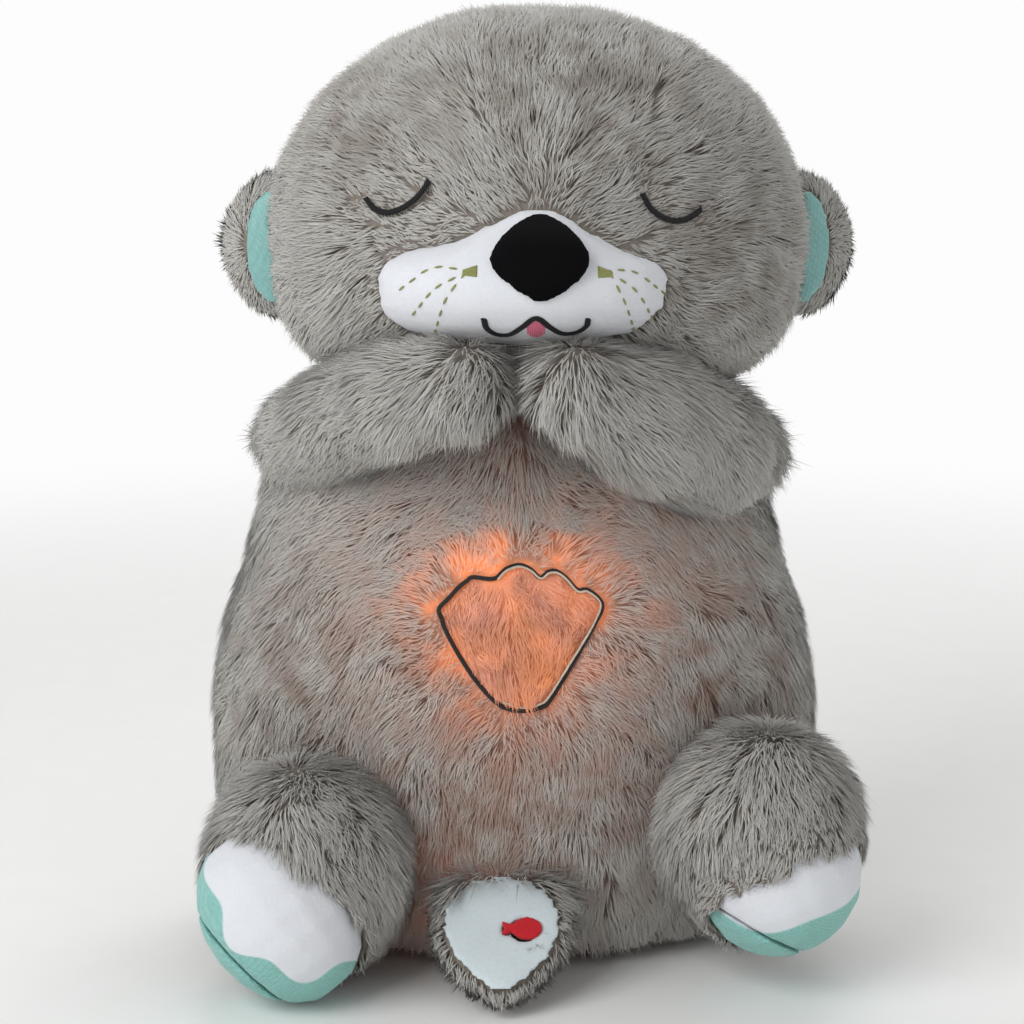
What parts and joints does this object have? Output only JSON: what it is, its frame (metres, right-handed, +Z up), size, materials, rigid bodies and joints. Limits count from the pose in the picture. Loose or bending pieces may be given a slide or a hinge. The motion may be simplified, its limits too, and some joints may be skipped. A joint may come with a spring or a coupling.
{
  "type": "breathing plush toy",
  "caption": "Sleeping plush otter whose lit belly rises and falls over a motor-driven sound and light box behind a back flap.",
  "frame": {"origin": "on the floor under the middle of the toy's plan", "axes": "+Z up, -Y the way the toy faces, +X to the viewer's right"},
  "size_m": [0.2088, 0.16, 0.2987],
  "materials": {
    "fur": "long-pile plush, matt",
    "fleece": "short white fleece, matt",
    "velvet": "black velvet, matt",
    "teal_satin": "satin cloth, soft sheen",
    "teal_knit": "fine ribbed cloth",
    "pale_cloth": "smooth cloth",
    "red_cloth": "felt",
    "glow_fur": "plush lit from behind",
    "tape": "hook and loop tape",
    "casing": "moulded, fine texture",
    "gear_plastic": "moulded, smooth",
    "dark_plastic": "moulded",
    "diffuser": "translucent, smooth",
    "steel": "plain",
    "board": "coated board",
    "battery_wrap": "shrink wrap",
    "speaker_paper": "pressed paper"
  },
  "bodies": {
    "root": {"torso": "fur", "head": "fur", "muzzle": "fleece", "nose": "velvet", "ear_left": "fur", "ear_lining_left": "teal_satin", "ear_right": "fur", "ear_lining_right": "teal_satin", "hook_strip": "tape", "housing_front": "casing", "housing_back": "casing", "housing_screw_1": "steel", "housing_screw_2": "steel", "housing_screw_3": "steel", "housing_screw_4": "steel", "battery_1": "battery_wrap", "battery_2": "battery_wrap", "battery_3": "battery_wrap", "contact_top": "steel", "contact_bottom": "steel", "circuit_board": "board", "speaker_frame": "steel", "speaker_cone": "speaker_paper", "speaker_magnet": "steel", "motor": "steel", "gearbox_plate": "casing", "gear_axle": "steel", "light_board": "diffuser", "breath_spring_left": "steel", "breath_spring_right": "steel", "tail_lead": "dark_plastic", "lead_plug": "casing"},
    "cam": {"cam_gear": "gear_plastic"},
    "wheel": {"worm_wheel": "gear_plastic"},
    "worm_screw": {"worm": "gear_plastic"},
    "breath": {"breath_plate": "casing", "light_lens": "diffuser", "post_clip_left": "steel", "post_clip_right": "steel", "belly_panel": "glow_fur"},
    "flap": {"closure_flap": "fur", "loop_strip": "tape"},
    "door": {"battery_door": "casing", "door_screw": "steel"},
    "slider": {"power_slider": "dark_plastic"},
    "tail_paddle": {"tail": "fur", "tail_lining": "pale_cloth", "tail_switch": "dark_plastic"},
    "button": {"tail_button": "red_cloth"},
    "arm_of_left": {"arm_left": "fur"},
    "arm_of_right": {"arm_right": "fur"},
    "leg_of_left": {"leg_left": "fur", "foot_left": "fleece", "sole_left": "teal_knit"},
    "leg_of_right": {"leg_right": "fur", "foot_right": "fleece", "sole_right": "teal_knit"}
  },
  "joints": [
    {"name": "cam_turn", "type": "hinge", "parent": "root", "child": "cam", "pos_m": [-0.00536, 0.00749, 0.108], "axis": [0, 1, 0], "range_deg": [0, 85]},
    {"name": "wheel_spin", "type": "hinge", "parent": "root", "child": "wheel", "pos_m": [0.00285, 0.01449, 0.08545], "axis": [0, 1, 0], "range_deg": [-345, 0]},
    {"name": "worm_spin", "type": "hinge", "parent": "root", "child": "worm_screw", "pos_m": [0.00285, 0.01989, 0.073], "axis": [1, 0, 0], "range_deg": [-8200, 0]},
    {"name": "breath_slide", "type": "slide", "parent": "root", "child": "breath", "axis": [0, -1, 0], "range_m": [0, 0.00755], "deforming": ["breath_spring_left", "breath_spring_right"]},
    {"name": "flap_open", "type": "hinge", "parent": "root", "child": "flap", "pos_m": [-0.05236, 0.06904, 0.1], "axis": [0, 0, 1], "range_deg": [0, 110]},
    {"name": "battery_door_open", "type": "hinge", "parent": "root", "child": "door", "pos_m": [-0.02936, 0.04719, 0.0825], "axis": [0, 0, 1], "range_deg": [0, 61]},
    {"name": "power_switch", "type": "slide", "parent": "root", "child": "slider", "axis": [1, 0, 0], "range_m": [0, 0.008]},
    {"name": "tail_lift", "type": "hinge", "parent": "root", "child": "tail_paddle", "pos_m": [-0.00536, -0.03401, 0.0353], "axis": [-1, 0, 0], "range_deg": [0, 60]},
    {"name": "tail_press", "type": "slide", "parent": "tail_paddle", "child": "button", "axis": [0, 0.5592, -0.829], "range_m": [0, 0.001], "stiffness_N_per_m": 600},
    {"name": "arm_left_open", "type": "hinge", "parent": "root", "child": "arm_of_left", "pos_m": [-0.07169, 0.02039, 0.161], "axis": [0, 0, -1], "range_deg": [0, 30], "stiffness_Nm_per_rad": 0.05},
    {"name": "arm_right_open", "type": "hinge", "parent": "root", "child": "arm_of_right", "pos_m": [0.06493, 0.01917, 0.158], "axis": [0, 0, 1], "range_deg": [0, 30], "stiffness_Nm_per_rad": 0.05},
    {"name": "leg_left_lift", "type": "hinge", "parent": "root", "child": "leg_of_left", "pos_m": [-0.06971, -0.02051, 0.07], "axis": [-1, 0, 0], "range_deg": [0, 15], "stiffness_Nm_per_rad": 0.2},
    {"name": "leg_right_lift", "type": "hinge", "parent": "root", "child": "leg_of_right", "pos_m": [0.07134, -0.01751, 0.078], "axis": [-1, 0, 0], "range_deg": [0, 15], "stiffness_Nm_per_rad": 0.2}
  ],
  "couplings": [
    {"joint": "cam_turn", "follows": "breath_slide", "rad_per_m": 196.35},
    {"joint": "wheel_spin", "follows": "breath_slide", "rad_per_m": -785.4},
    {"joint": "worm_spin", "follows": "breath_slide", "rad_per_m": -18850},
    {"joint": "battery_door_open", "follows": "flap_open", "ratio": 0.55}
  ]
}
